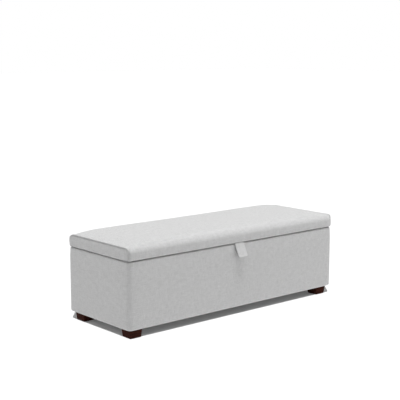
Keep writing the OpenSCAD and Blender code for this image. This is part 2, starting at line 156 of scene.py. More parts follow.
def grid_faces(rows, columns, flip=False):
    """Quads of a grid whose vertices are stored row by row."""
    faces = []
    for r in range(rows - 1):
        for c in range(columns - 1):
            a = r * columns + c
            quad = (a, a + 1, a + columns + 1, a + columns)
            faces.append(quad[::-1] if flip else quad)
    return faces


def thicken(obj, thickness):
    """Gives a sheet its thickness, inwards from the outer face."""
    modifier = obj.modifiers.new("thickness", "SOLIDIFY")
    modifier.thickness = thickness
    modifier.offset = -1
    apply_modifiers(obj)


def apply_modifiers(obj):
    """Replaces an object's mesh by the result of its modifiers."""
    graph = bpy.context.evaluated_depsgraph_get()
    mesh = bpy.data.meshes.new_from_object(obj.evaluated_get(graph))
    obj.modifiers.clear()
    obj.data = mesh


def steps(length, size):
    """Evenly spread shares from 0 to 1, about size apart over length."""
    count = max(2, int(round(length / size)) + 1)
    return np.linspace(0, 1, count)


def arc(centre, radius, start, end):
    """Points of an arc, angles in degrees, without its last point."""
    length = abs(math.radians(end - start)) * radius
    angles = np.radians(start + (end - start) * steps(length, ARC_STEP)[:-1])
    return [(centre[0] + radius * math.cos(a), centre[1] + radius * math.sin(a)) for a in angles]


def quarter(centre, deep, high, start):
    """Points of a quarter ellipse turning clockwise from start degrees, without its last point."""
    angles = np.radians(start - 90 * steps(math.pi / 2 * max(deep, high), ARC_STEP)[:-1])
    return [(centre[0] + deep * math.cos(a), centre[1] + high * math.sin(a)) for a in angles]


def line(start, end, size=GRID):
    """Points of a straight run, without its last point."""
    length = math.dist(start, end)
    return [tuple(np.array(start) + (np.array(end) - start) * t) for t in steps(length, size)[:-1]]


def arc_lengths(points):
    """Distance along an open row of points, for each point."""
    steps_between = np.linalg.norm(np.diff(np.array(points), axis=0), axis=1)
    return np.concatenate([[0], np.cumsum(steps_between)])


def bump(share, power=2.6):
    """1 in the middle of a span, falling to 0 at its ends; share runs from 0 to 1."""
    return np.clip(1 - np.abs(2 * np.clip(share, 0, 1) - 1) ** power, 0, 1)


def waves(points, size, seed):
    """Smooth, repeatable unevenness between -1 and 1 for rows of 3D points."""
    rng = np.random.default_rng(seed)
    total = np.zeros(len(points))
    for _ in range(6):
        direction = rng.normal(size=3)
        direction /= np.linalg.norm(direction)
        phase = rng.uniform(0, 2 * math.pi)
        length = size * rng.uniform(0.6, 1.6)
        total += np.sin(points @ direction * 2 * math.pi / length + phase)
    return total / 6


def coordinates(mesh):
    """Vertex positions of a mesh as rows of three."""
    flat = np.zeros(len(mesh.vertices) * 3, np.float32)
    mesh.vertices.foreach_get("co", flat)
    return flat.reshape(-1, 3)


def inflate(obj, pinned, cap):
    """Fills a cover out with Blender's Cloth, held where pinned is true.

    No point moves past cap, and none moves inwards, where the filling is.
    """
    scene = bpy.context.scene
    group = obj.vertex_groups.new(name="held")
    group.add([int(i) for i in np.flatnonzero(np.ravel(pinned))], 1.0, "REPLACE")
    cloth = obj.modifiers.new("inflate", "CLOTH")
    cloth.settings.quality = SIM_QUALITY
    cloth.settings.use_pressure = True
    cloth.settings.uniform_pressure_force = SIM_PRESSURE
    cloth.settings.vertex_group_mass = group.name
    cloth.settings.effector_weights.gravity = 0
    cloth.point_cache.frame_start = 1
    cloth.point_cache.frame_end = SIM_FRAMES
    for step in range(1, SIM_FRAMES + 1):
        scene.frame_set(step)
    before = coordinates(obj.data)
    moved = obj.evaluated_get(bpy.context.evaluated_depsgraph_get()).data
    shift = coordinates(moved) - before
    normals = np.array([vertex.normal for vertex in obj.data.vertices])
    inward = np.minimum(np.sum(shift * normals, axis=1), 0)
    shift = shift - normals * inward[:, None]
    length = np.maximum(np.linalg.norm(shift, axis=1), 1e-9)[:, None]
    after = before + shift / length * cap * np.tanh(length / cap)
    obj.modifiers.remove(cloth)
    obj.vertex_groups.clear()
    obj.data.vertices.foreach_set("co", after.astype(np.float32).ravel())
    obj.data.update()
    scene.frame_set(1)


# Materials ------------------------------------------------------------------------------


def material(name):
    """A new material with its node tree and its Principled shader."""
    mat = bpy.data.materials.new(name)
    mat.use_nodes = True
    tree = mat.node_tree
    return mat, tree, tree.nodes["Principled BSDF"]


def add(tree, kind, inputs=None, **settings):
    """Adds a shader node; inputs maps a socket's name or number to a value or to a socket."""
    made = tree.nodes.new(kind)
    for key, value in settings.items():
        setattr(made, key, value)
    for key, value in (inputs or {}).items():
        if isinstance(value, bpy.types.NodeSocket):
            tree.links.new(value, made.inputs[key])
        else:
            made.inputs[key].default_value = value
    return made


def maths(tree, operation, a, b=0.0, clamp=False):
    return add(tree, "ShaderNodeMath", {0: a, 1: b}, operation=operation, use_clamp=clamp).outputs[0]


def scaled(tree, vector, scale):
    return add(tree, "ShaderNodeVectorMath", {0: vector, 1: scale}, operation="MULTIPLY").outputs[0]


def noise(tree, vector, scale, detail=2.0, roughness=0.5):
    made = add(tree, "ShaderNodeTexNoise", {"Vector": vector, "Scale": scale, "Detail": detail})
    made.inputs["Roughness"].default_value = roughness
    return made.outputs["Fac"]


def mixed(tree, factor, low, high):
    made = add(tree, "ShaderNodeMix", {"Factor": factor}, data_type="RGBA")
    for socket, value in ((made.inputs[6], low), (made.inputs[7], high)):
        if isinstance(value, bpy.types.NodeSocket):
            tree.links.new(value, socket)
        else:
            socket.default_value = (*value, 1)
    return made.outputs[2]


def ramp(tree, factor, stops):
    made = add(tree, "ShaderNodeValToRGB", {"Fac": factor})
    elements = made.color_ramp.elements
    while len(elements) < len(stops):
        elements.new(0.5)
    for element, (position, colour) in zip(elements, stops):
        element.position = position
        element.color = (*colour, 1)
    return made.outputs["Color"]


def grey(value):
    return (value, value, value)


def bumped(tree, shader, height, distance, strength=1.0):
    made = add(tree, "ShaderNodeBump", {"Height": height, "Distance": distance, "Strength": strength})
    tree.links.new(made.outputs["Normal"], shader.inputs["Normal"])


def woven_cloth(name, light, dark, thread=1.5 * MM):
    """Plain weave with uneven, slubby threads, laid out by the cloth attribute."""
    mat, tree, shader = material(name)
    cloth = add(tree, "ShaderNodeAttribute", attribute_name="cloth").outputs["Vector"]
    drift = scaled(tree, add(tree, "ShaderNodeTexNoise", {"Vector": cloth, "Scale": 40.0}).outputs["Color"],
                   grey(thread * 0.8))
    place = add(tree, "ShaderNodeVectorMath", {0: cloth, 1: drift}, operation="ADD").outputs[0]
    split = add(tree, "ShaderNodeSeparateXYZ", {"Vector": scaled(tree, place, grey(math.pi / thread))})
    across = maths(tree, "SINE", split.outputs["X"])
    along = maths(tree, "SINE", split.outputs["Y"])
    over = maths(tree, "GREATER_THAN", maths(tree, "MULTIPLY", across, along), 0.0)
    warp = maths(tree, "ABSOLUTE", across)
    weft = maths(tree, "ABSOLUTE", along)
    high = add(tree, "ShaderNodeMix", {"Factor": over, 2: warp, 3: weft}).outputs[0]
    slub_warp = noise(tree, scaled(tree, place, (1 / (2.2 * thread), 28.0, 1.0)), 1.0, 3.0, 0.6)
    slub_weft = noise(tree, scaled(tree, place, (22.0, 1 / (2.2 * thread), 1.0)), 1.0, 3.0, 0.6)
    slub = add(tree, "ShaderNodeMix", {"Factor": over, 2: slub_warp, 3: slub_weft}).outputs[0]
    streaks = maths(tree, "MULTIPLY", maths(tree, "ADD", slub_warp, slub_weft), 0.5)
    mottle = noise(tree, cloth, 55.0, 4.0, 0.65)
    tone = maths(tree, "ADD", maths(tree, "MULTIPLY", high, 0.22), maths(tree, "MULTIPLY", slub, 0.30))
    tone = maths(tree, "ADD", tone, maths(tree, "MULTIPLY", streaks, 0.40))
    tone = maths(tree, "ADD", tone, maths(tree, "MULTIPLY", mottle, 0.30))
    spread = add(tree, "ShaderNodeMapRange", {"Value": tone, "From Min": 0.30, "From Max": 0.88}).outputs[0]
    tree.links.new(mixed(tree, spread, dark, light), shader.inputs["Base Color"])
    rough = add(tree, "ShaderNodeMapRange", {"Value": slub, "To Min": 0.82, "To Max": 0.97}).outputs[0]
    tree.links.new(rough, shader.inputs["Roughness"])
    shader.inputs["Sheen Weight"].default_value = 0.25
    shader.inputs["Sheen Roughness"].default_value = 0.5
    shader.inputs["Specular IOR Level"].default_value = 0.2
    height = maths(tree, "ADD", high, maths(tree, "MULTIPLY", slub, 0.8))
    bumped(tree, shader, height, 0.35 * MM, 0.7)
    return mat


def thin_cloth(name, colour, lighter):
    """Non-woven lining: matt, with pressed dots and faint fibres, in object space."""
    mat, tree, shader = material(name)
    place = add(tree, "ShaderNodeTexCoord").outputs["Object"]
    fibres = noise(tree, scaled(tree, place, (260.0, 260.0, 900.0)), 1.0, 4.0, 0.7)
    dots = add(tree, "ShaderNodeTexVoronoi", {"Vector": place, "Scale": 420.0}).outputs["Distance"]
    tone = maths(tree, "ADD", maths(tree, "MULTIPLY", fibres, 0.7), maths(tree, "MULTIPLY", dots, 0.5))
    tree.links.new(mixed(tree, tone, colour, lighter), shader.inputs["Base Color"])
    shader.inputs["Roughness"].default_value = 0.95
    shader.inputs["Specular IOR Level"].default_value = 0.15
    bumped(tree, shader, tone, 0.3 * MM, 0.5)
    return mat


def stained_wood(name, dark, light, along):
    """Dark stained hardwood with its grain along the axis named."""
    mat, tree, shader = material(name)
    place = add(tree, "ShaderNodeTexCoord").outputs["Object"]
    stretch = [90.0, 90.0, 90.0]
    stretch["XYZ".index(along)] = 9.0
    stretched = scaled(tree, place, tuple(stretch))
    warp = noise(tree, stretched, 1.2, 3.0, 0.6)
    ring_settings = {"Vector": stretched, "Scale": 2.4, "Detail": 6.0, "Distortion": 1.2}
    rings = add(tree, "ShaderNodeTexNoise", ring_settings)
    pores = noise(tree, scaled(tree, stretched, grey(7.0)), 1.0, 2.0, 0.5)
    ring_share = maths(tree, "MULTIPLY", rings.outputs["Fac"], 0.7)
    grain = maths(tree, "ADD", ring_share, maths(tree, "MULTIPLY", warp, 0.3))
    between = tuple((a + b) / 2 for a, b in zip(dark, light))
    tone = ramp(tree, grain, [(0.32, dark), (0.5, between), (0.68, light)])
    pore_range = {"Value": pores, "From Min": 0.30, "From Max": 0.42}
    pore_mask = add(tree, "ShaderNodeMapRange", pore_range).outputs[0]
    tree.links.new(mixed(tree, pore_mask, tuple(c * 0.45 for c in dark), tone), shader.inputs["Base Color"])
    rough = add(tree, "ShaderNodeMapRange", {"Value": grain, "To Min": 0.55, "To Max": 0.75}).outputs[0]
    tree.links.new(rough, shader.inputs["Roughness"])
    shader.inputs["Specular IOR Level"].default_value = 0.03
    bumped(tree, shader, maths(tree, "ADD", grain, pore_mask), 0.25 * MM, 0.4)
    return mat


def plywood(name):
    """Pale birch plywood: long soft figure on the faces and thin glue lines on the edges."""
    mat, tree, shader = material(name)
    place = add(tree, "ShaderNodeTexCoord").outputs["Object"]
    figure = noise(tree, scaled(tree, place, (6.0, 60.0, 60.0)), 1.0, 5.0, 0.6)
    fleck = noise(tree, scaled(tree, place, (40.0, 700.0, 700.0)), 1.0, 2.0, 0.5)
    tone = maths(tree, "ADD", maths(tree, "MULTIPLY", figure, 0.75), maths(tree, "MULTIPLY", fleck, 0.25))
    stops = [(0.3, (0.50, 0.35, 0.20)), (0.5, (0.62, 0.47, 0.30)), (0.7, (0.70, 0.56, 0.38))]
    colour = ramp(tree, tone, stops)
    tree.links.new(colour, shader.inputs["Base Color"])
    shader.inputs["Roughness"].default_value = 0.7
    bumped(tree, shader, tone, 0.3 * MM, 0.3)
    return mat


def soft_foam(name):
    """Open-cell foam."""
    mat, tree, shader = material(name)
    place = add(tree, "ShaderNodeTexCoord").outputs["Object"]
    cells = add(tree, "ShaderNodeTexVoronoi", {"Vector": place, "Scale": 500.0}).outputs["Distance"]
    tone = maths(tree, "ADD", maths(tree, "MULTIPLY", cells, 0.8), noise(tree, place, 30.0, 3.0))
    tree.links.new(mixed(tree, tone, (0.62, 0.57, 0.42), (0.84, 0.80, 0.66)), shader.inputs["Base Color"])
    shader.inputs["Roughness"].default_value = 0.95
    bumped(tree, shader, cells, 0.6 * MM, 0.7)
    return mat


def metal(name, colour, roughness, brushed=0.0, metallic=1.0):
    """Metal or painted metal with fine brushing or speckle in its gloss."""
    mat, tree, shader = material(name)
    place = add(tree, "ShaderNodeTexCoord").outputs["Object"]
    lines = noise(tree, scaled(tree, place, (60.0, 1500.0, 1500.0)), 1.0, 3.0, 0.6)
    stains = noise(tree, place, 45.0, 4.0, 0.6)
    tone = maths(tree, "ADD", maths(tree, "MULTIPLY", lines, brushed), maths(tree, "MULTIPLY", stains, 0.6))
    darker = tuple(c * 0.8 for c in colour)
    tree.links.new(mixed(tree, tone, darker, colour), shader.inputs["Base Color"])
    rough = add(tree, "ShaderNodeMapRange",
                {"Value": tone, "To Min": roughness * 0.8, "To Max": roughness * 1.3}).outputs[0]
    tree.links.new(rough, shader.inputs["Roughness"])
    shader.inputs["Metallic"].default_value = metallic
    bumped(tree, shader, lines, 0.05 * MM, 0.3)
    return mat


def matt_rubber(name):
    mat, tree, shader = material(name)
    place = add(tree, "ShaderNodeTexCoord").outputs["Object"]
    speckle = noise(tree, place, 900.0, 3.0, 0.6)
    tree.links.new(mixed(tree, speckle, grey(0.015), grey(0.05)), shader.inputs["Base Color"])
    rough = add(tree, "ShaderNodeMapRange", {"Value": speckle, "To Min": 0.6, "To Max": 0.85}).outputs[0]
    tree.links.new(rough, shader.inputs["Roughness"])
    bumped(tree, shader, speckle, 0.15 * MM, 0.5)
    return mat


def floor_paint(name):
    """Plain pale floor, very faintly uneven."""
    mat, tree, shader = material(name)
    place = add(tree, "ShaderNodeTexCoord").outputs["Object"]
    patch = noise(tree, place, 1.5, 3.0)
    tree.links.new(mixed(tree, patch, grey(0.83), grey(0.85)), shader.inputs["Base Color"])
    shader.inputs["Roughness"].default_value = 0.9
    shader.inputs["Specular IOR Level"].default_value = 0.1
    return mat


# Box upholstery -------------------------------------------------------------------------


def rounded_outline(inset, radius=None):
    """Plan of the box drawn inset, as points, and the share of its side that each point lies on."""
    half_x = HALF_W - inset
    half_y = HALF_D - inset
    if radius is None:
        radius = max(CORNER_R - inset, 2 * MM)
    long_run = steps(2 * (HALF_W - CORNER_R), GRID)
    short_run = steps(2 * (HALF_D - CORNER_R), GRID)
    turn = steps(CORNER_R * math.pi / 2, ARC_STEP)
    corners = [(half_x - radius, -half_y + radius), (half_x - radius, half_y - radius),
               (-half_x + radius, half_y - radius), (-half_x + radius, -half_y + radius)]
    starts = [-90, 0, 90, 180]
    points, shares = [], []
    for i, (centre, start) in enumerate(zip(corners, starts)):
        for t in turn[:-1]:
            a = math.radians(start + 90 * t)
            points.append((centre[0] + radius * math.cos(a), centre[1] + radius * math.sin(a)))
            shares.append(0.0)
        a = math.radians(start + 90)
        begin = np.array(centre) + radius * np.array((math.cos(a), math.sin(a)))
        following = corners[(i + 1) % 4]
        end = np.array(following) + radius * np.array((math.cos(a), math.sin(a)))
        run = short_run if i % 2 == 0 else long_run
        for t in run[:-1]:
            points.append(tuple(begin + (end - begin) * t))
            shares.append(float(t))
    points.append(points[0])
    shares.append(shares[0])
    return np.array(points), np.array(shares)


def box_side_profile():
    """Rows of the cover from the hem below the box up its side and over the rim: (inset, height)."""
    low = BOX_BOTTOM
    high = BOX_TOP
    rows = line((HEM, low), (BOX_BOTTOM_R, low))
    rows += arc((BOX_BOTTOM_R, low + BOX_BOTTOM_R), BOX_BOTTOM_R, 270, 180)
    rows += line((0, low + BOX_BOTTOM_R), (0, high - BOX_TOP_R))
    rows += arc((BOX_TOP_R, high - BOX_TOP_R), BOX_TOP_R, 180, 90)
    rows += line((BOX_TOP_R, high), (WALL_IN - 3 * MM, high))
    rows += arc((WALL_IN - 3 * MM, high - 3 * MM), 3 * MM, 90, 0)
    rows += line((WALL_IN, high - 3 * MM), (WALL_IN, high - 24 * MM))
    rows.append((WALL_IN, high - 24 * MM))
    return rows


def rim_draw(z):
    """How far the cover of the box is drawn in towards its rim at a height."""
    return BOX_RIM_DRAW * math.exp(-((BOX_TOP - z) / BOX_RIM_REACH) ** 2)


def corner_draw(outline):
    """How far the cover of the box is drawn in near its upright corners."""
    away = np.hypot(HALF_W - np.abs(outline[:, 0]), HALF_D - np.abs(outline[:, 1]))
    return BOX_CORNER_DRAW * np.exp(-(away / BOX_CORNER_REACH) ** 2)


def box_upholstery(cloth):
    """The cover of the box: crowned sides, soft edges, turned in over the rim."""
    rows = box_side_profile()
    heights = arc_lengths(rows)
    span = (BOX_TOP - BOX_BOTTOM)
    vertices, places = [], []
    for (inset, z), v in zip(rows, heights):
        outline, shares = rounded_outline(inset)
        flat_outline, _ = rounded_outline(0)
        lengths = arc_lengths(flat_outline)
        outward = outline - rounded_outline(inset + 1 * MM)[0]
        outward /= np.maximum(np.linalg.norm(outward, axis=1), 1e-9)[:, None]
        swell = 0 * shares
        if inset < BOX_TOP_R:
            swell = BOX_CROWN * bump(shares) * bump((z - BOX_BOTTOM) / span) - corner_draw(flat_outline)
        if inset < WALL_IN - 4 * MM:
            swell = swell - rim_draw(z)
        spots = np.column_stack([outline, np.full(len(outline), z)])
        swell = swell + 0.35 * MM * waves(spots, 0.16, 3) * (1.0 if inset < BOX_TOP_R else 0.3)
        outline = outline + outward * swell[:, None]
        for (x, y), u in zip(outline, lengths):
            vertices.append((x, MIDDLE_Y + y, z))
            places.append((u, v))
    columns = len(flat_outline)
    obj = new_object("box_upholstery", vertices, grid_faces(len(rows), columns))
    set_cloth_map(obj, places)
    turned_in = np.array([inset >= 0.9 * BOX_TOP_R for inset, _ in rows])
    inflate(obj, turned_in[:, None] | (shares == 0)[None, :], BOX_SIM_CAP)
    thicken(obj, COVER_T)
    obj.data.materials.append(cloth)
    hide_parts("box_cover")
    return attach(obj, "box")


def box_foam(foam):
    """Foam wrapped round the four sides of the box, between its panels and its cover."""
    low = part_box("left_pad")[0].z
    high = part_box("left_pad")[1].z
    bottom_r = BOX_BOTTOM_R - FOAM_IN
    top_r = BOX_TOP_R - FOAM_IN
    rows = [(PAD_T - 0.2 * MM, low)]
    rows += arc((bottom_r + FOAM_IN, low + bottom_r), bottom_r, 270, 180)
    rows += line((FOAM_IN, low + bottom_r), (FOAM_IN, high - top_r), 20 * MM)
    rows += arc((top_r + FOAM_IN, high - top_r), top_r, 180, 90)
    rows += [(PAD_T - 0.2 * MM, high), (PAD_T - 0.2 * MM, low)]
    vertices = []
    for inset, z in rows:
        radius = 1 * MM if inset > PAD_T - 1 * MM else None
        drawn = rim_draw(z) if radius is None else 0
        outline, _ = rounded_outline(inset + drawn, radius)
        if radius is None:
            drawn_at_corners = corner_draw(rounded_outline(0)[0])
            normals = outline - rounded_outline(inset + drawn + 1 * MM)[0]
            normals /= np.maximum(np.linalg.norm(normals, axis=1), 1e-9)[:, None]
            outline = outline - normals * drawn_at_corners[:, None]
        vertices += [(x, MIDDLE_Y + y, z) for x, y in outline]
    obj = new_object("box_foam_wrap", vertices, grid_faces(len(rows), len(outline)))
    obj.data.materials.append(foam)
    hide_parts("front_pad", "back_pad", "left_pad", "right_pad")
    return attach(obj, "box")


# Lid upholstery -------------------------------------------------------------------------


def lid_front(inset=0.0):
    """Front of the lid's end outline, from the underside up to the flat top: points (y, z)."""
    f = FRONT_Y + inset
    b = LID_BOTTOM + inset
    t = LID_TOP - LID_SEAM_DROP - inset
    lower = LID_FRONT_BOTTOM_R - inset
    upper = LID_FRONT_TOP_R - inset
    points = arc((f + lower, b + lower), lower, 270, 180)
    points += line((f, b + lower), (f, t - upper), 4 * MM)
    points += arc((f + upper, t - upper), upper, 180, 90)
    return points


def lid_rear(inset=0.0):
    """Rear of the lid's end outline, from the flat top down to the underside: points (y, z)."""
    r = LID_REAR_Y - inset
    b = LID_BOTTOM + inset
    t = LID_TOP - LID_SEAM_DROP - inset
    deep = LID_REAR_TOP_DEEP - inset
    low_deep = LID_REAR_BOTTOM_DEEP - inset
    low_high = LID_REAR_BOTTOM_HIGH - inset
    points = quarter((r - deep, b + low_high), deep, t - b - low_high, 90)
    points += quarter((r - low_deep, b + low_high), low_deep, low_high, 0)
    return points + [(r - low_deep, b)]


def lid_outline(inset=0.0):
    """End outline of the lid from its front hem, over the top, to its rear hem: points (y, z)."""
    front = lid_front(inset)
    rear = lid_rear(inset)
    hem_z = LID_BOTTOM + inset
    top_z = rear[0][1]
    points = line((FRONT_Y + HEM, hem_z), front[0]) + front
    points += line((FRONT_Y + LID_FRONT_TOP_R, top_z), rear[0])
    points += rear[:-1]
    points += line(rear[-1], (REAR_Y - HEM, hem_z))
    points.append((REAR_Y - HEM, hem_z))
    return np.array(points)


def round_lid_corners(points):
    """Moves points near the lid's upright corners in, so that its plan has round corners."""
    points = np.array(points, dtype=float)
    middle = np.array((0, (FRONT_Y + LID_REAR_Y) / 2))
    place = points[:, :2] - middle
    radius = np.where(place[:, 1] < 0, LID_FRONT_CORNER_R, LID_REAR_CORNER_R)[:, None]
    core = np.array((HALF_W, (LID_REAR_Y - FRONT_Y) / 2)) - radius
    past = np.maximum(np.abs(place) - core, 0)
    length = np.linalg.norm(past, axis=1)
    excess = length - past.max(axis=1)
    shift = past / np.maximum(length, 1e-9)[:, None] * excess[:, None]
    points[:, :2] = middle + np.sign(place) * (np.abs(place) - shift)
    return points


def outward_normals(points):
    """Unit normals on the left of an open row of 2D points that runs clockwise seen from -X."""
    tangent = np.gradient(points, axis=0)
    tangent /= np.maximum(np.linalg.norm(tangent, axis=1), 1e-9)[:, None]
    return np.column_stack([-tangent[:, 1], tangent[:, 0]])


def seam_dip(distance):
    """How far cloth is drawn in at a distance from a seam."""
    return SEAM_DIP * np.exp(-(distance / (SEAM_REACH * 0.45)) ** 2)


def end_dip(distance):
    """How far an end of the lid is drawn in behind its piping."""
    return END_SEAM_DIP * math.exp(-(distance / END_SEAM_REACH) ** 2)


def lid_swell(x, outline, half):
    """How far the filling pushes the lid's cover out, for each point of its outline at x."""
    y_share = (outline[:, 0] - FRONT_Y) / (LID_REAR_Y - FRONT_Y)
    z_share = (outline[:, 1] - LID_BOTTOM) / (LID_TOP - LID_SEAM_DROP - LID_BOTTOM)
    dome = bump((x + half) / (2 * half), 14)
    on_top = np.clip((z_share - 0.5) / 0.5, 0, 1) ** 2
    swell = (LID_SEAM_DROP + LID_CROWN) * on_top * bump(y_share, 8)
    return (swell + LID_SIDE_CROWN * bump(z_share, 2.0)) * dome


def lid_foam(foam):
    """The filling of the lid, hollowed out for its board."""
    outline = lid_outline(FOAM_IN)
    normals = outward_normals(outline)
    half = HALF_W - LID_FOAM_END
    points = []
    xs = np.linspace(-half, half, 61)
    for x in xs:
        moved = outline + normals * lid_swell(x, outline, half)[:, None]
        points += [(x, y, z) for y, z in moved]
    count = len(outline)
    faces = grid_faces(len(xs), count, flip=True)
    for i in range(len(xs) - 1):
        faces.append(((i + 1) * count, (i + 2) * count - 1, (i + 1) * count - 1, i * count))
    faces.append(tuple(range(count)))
    faces.append(tuple(range(len(points) - count, len(points)))[::-1])
    obj = new_object("lid_foam_filling", round_lid_corners(points), faces)
    low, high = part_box("lid_board")
    low.z -= 5 * MM
    corners = [(x, y, z) for x in (low.x, high.x) for y in (low.y, high.y) for z in (low.z, high.z)]
    sides = [(0, 1, 3, 2), (4, 6, 7, 5), (0, 4, 5, 1), (2, 3, 7, 6), (0, 2, 6, 4), (1, 5, 7, 3)]
    cutter = new_object("board_cutter", corners, sides, smooth=False)
    hollow = obj.modifiers.new("hollow", "BOOLEAN")
    hollow.object = cutter
    hollow.operation = "DIFFERENCE"
    apply_modifiers(obj)
    bpy.data.objects.remove(cutter)
    obj.data.materials.clear()
    obj.data.materials.append(foam)
    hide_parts("lid_foam")
    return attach(obj, "lid")


def lid_cover(cloth):
    """The wrapped piece over the front, top and rear of the lid, with its hems underneath."""
    outline = lid_outline()
    normals = outward_normals(outline)
    lengths = arc_lengths(outline)
    half = HALF_W - LID_SEAM_IN
    fine = np.array([0, 1.5, 3, 5, 7.5, 10.5, 14, 18]) * MM
    middle = np.linspace(-half + fine[-1], half - fine[-1], int(2 * half / GRID))
    xs = np.concatenate([-half + fine[:-1], middle, (half - fine[:-1])[::-1]])
    above = outline[:, 1] > LID_BOTTOM + 0.5 * MM
    points, places = [], []
    for x in xs:
        edge = half - abs(x)
        lift = lid_swell(x, outline, half) - seam_dip(edge) * above
        spots = np.column_stack([np.full(len(outline), x), outline])
        lift = lift + UNEVEN * waves(spots, 0.22, 11) * above * min(edge / 0.05, 1)
        moved = outline + normals * lift[:, None]
        points += [(x, y, z) for y, z in moved]
        places += [(x, v) for v in lengths]
    faces = grid_faces(len(xs), len(outline), flip=True)
    obj = new_object("lid_cushion_cover", round_lid_corners(points), faces)
    set_cloth_map(obj, places)
    pinned = np.tile(~above, (len(xs), 1))
    pinned[[0, 1, -2, -1]] = True
    inflate(obj, pinned, LID_SIM_CAP)
    thicken(obj, COVER_T)
    obj.data.materials.append(cloth)
    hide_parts("lid_cover")
    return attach(obj, "lid")


def lid_end(side, name, cloth):
    """A sewn-in end of the lid: crowned, drawn in at its seam, and hemmed underneath."""
    front = np.array(lid_front(0.6 * MM))
    rear = np.array(lid_rear(0.6 * MM))[::-1]
    top = front[-1, 1]
    low = front[0, 1]
    edge_x = HALF_W - LID_SEAM_IN
    shares = 0.5 - 0.5 * np.cos(np.linspace(0, math.pi, END_COLUMNS))
    points, places = [], []
    first_y, last_y = front[0, 0], rear[0, 0]
    for tuck in np.linspace(LID_HEM_END, LID_END_ROLL, END_HEM_ROWS):
        for s in shares:
            y = first_y + (last_y - first_y) * s
            points.append((side * (edge_x - tuck), y, LID_BOTTOM))
            places.append((y, -tuck))
    for z in low + (top - low) * np.sin(np.linspace(0, math.pi / 2, END_ROWS)):
        low_y = np.interp(z, front[:, 1], front[:, 0])
        high_y = np.interp(z, rear[:, 1], rear[:, 0])
        up = (z - low) / (top - low)
        roll = LID_END_ROLL * (1 - math.sqrt(1 - (1 - min(1, (z - low) / LID_END_ROLL)) ** 2))
        for s in shares:
            y = low_y + (high_y - low_y) * s
            gap = min(y - low_y, high_y - y, top - z)
            crown = LID_END_CROWN * float(bump(np.array(up), 2.4) * bump(np.array(s), 6))
            uneven = UNEVEN * 0.7 * float(waves(np.array([(0, y, z)]), 0.15, 5)[0]) * min(gap / 0.02, 1)
            x = edge_x + LID_SEAM_IN * 0.6 + crown + uneven - end_dip(gap) - roll
            points.append((side * x, y, z))
            places.append((y, z - LID_BOTTOM))
    faces = grid_faces(END_HEM_ROWS + END_ROWS, END_COLUMNS, flip=side > 0)
    obj = new_object(name, round_lid_corners(points), faces)
    set_cloth_map(obj, places)
    pinned = np.zeros((END_HEM_ROWS + END_ROWS, END_COLUMNS), bool)
    pinned[[0, 1, 2, 3, 4, -2, -1]] = True
    pinned[:, [0, 1, -2, -1]] = True
    inflate(obj, pinned, END_SIM_CAP)
    thicken(obj, END_COVER_T)
    obj.data.materials.append(cloth)
    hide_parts("lid_end_left" if side < 0 else "lid_end_right")
    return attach(obj, "lid")


def tube(name, path, radius, sides=10):
    """A closed round tube along a row of 3D points, with flat ends."""
    path = np.array(path)
    tangent = np.gradient(path, axis=0)
    tangent /= np.linalg.norm(tangent, axis=1)[:, None]
    reference = np.array((1.0, 0.0, 0.0))
    side_a = np.cross(tangent, reference)
    side_a /= np.maximum(np.linalg.norm(side_a, axis=1), 1e-9)[:, None]
    side_b = np.cross(tangent, side_a)
    angles = np.linspace(0, 2 * math.pi, sides, endpoint=False)
    vertices = []
    for point, a, b in zip(path, side_a, side_b):
        for angle in angles:
            vertices.append(point + radius * (math.cos(angle) * a + math.sin(angle) * b))
    faces = []
    for i in range(len(path) - 1):
        for j in range(sides):
            k = (j + 1) % sides
            faces.append((i * sides + j, i * sides + k, (i + 1) * sides + k, (i + 1) * sides + j))
    faces.append(tuple(range(sides))[::-1])
    faces.append(tuple((len(path) - 1) * sides + j for j in range(sides)))
    obj = new_object(name, vertices, faces)
    lengths = np.repeat(arc_lengths(path), sides)
    round_the_tube = np.tile(angles * radius, len(path))
    set_cloth_map(obj, np.column_stack([lengths, round_the_tube]))
    return obj


def lid_piping(side, name, cloth):
    """Piping in the seam between the lid's cover and its end."""
    outline = np.array(lid_front(0.4 * MM) + lid_rear(0.4 * MM))
    path = []
    for y, z in outline:
        tuck = PIPING_TUCK * max(0.0, 1 - (z - LID_BOTTOM) / PIPING_TUCK_HIGH)
        path.append((side * (HALF_W - LID_SEAM_IN - tuck), y, z + tuck))
    obj = tube(name, round_lid_corners(path), PIPING_R)
    obj.data.materials.append(cloth)
    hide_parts("lid_piping_left" if side < 0 else "lid_piping_right")
    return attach(obj, "lid")


# Pull tab -------------------------------------------------------------------------------

TAB_LOW, TAB_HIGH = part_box("pull_tab")
ANCHOR_LOW, ANCHOR_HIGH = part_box("tab_anchor")
TAB_W = TAB_HIGH.x - TAB_LOW.x
TAB_T = 3.4 * MM
TAB_LEAN = math.radians(26)
TAB_TURN_IN = 5 * MM
TAB_TURN_R = 4 * MM


def tab_path():
    """Middle line of the tab in (y, z): out of the seam, over its fold and down."""
    start_y = ANCHOR_HIGH.y
    z = (ANCHOR_LOW.z + ANCHOR_HIGH.z) / 2
    turn_y = FRONT_Y + TAB_TURN_IN
    points = line((start_y, z), (turn_y, z), 4 * MM)
    turn = 90 - math.degrees(TAB_LEAN)
    points += arc((turn_y, z - TAB_TURN_R), TAB_TURN_R, 90, 90 + turn)
    last = math.radians(90 + turn)
    corner = (turn_y + TAB_TURN_R * math.cos(last), z - TAB_TURN_R + TAB_TURN_R * math.sin(last))
    drop = corner[1] - TAB_LOW.z - 1 * MM
    end = (corner[0] - drop * math.tan(TAB_LEAN), corner[1] - drop)
    points += line(corner, end, 3 * MM)
    points.append(end)
    return np.array(points)


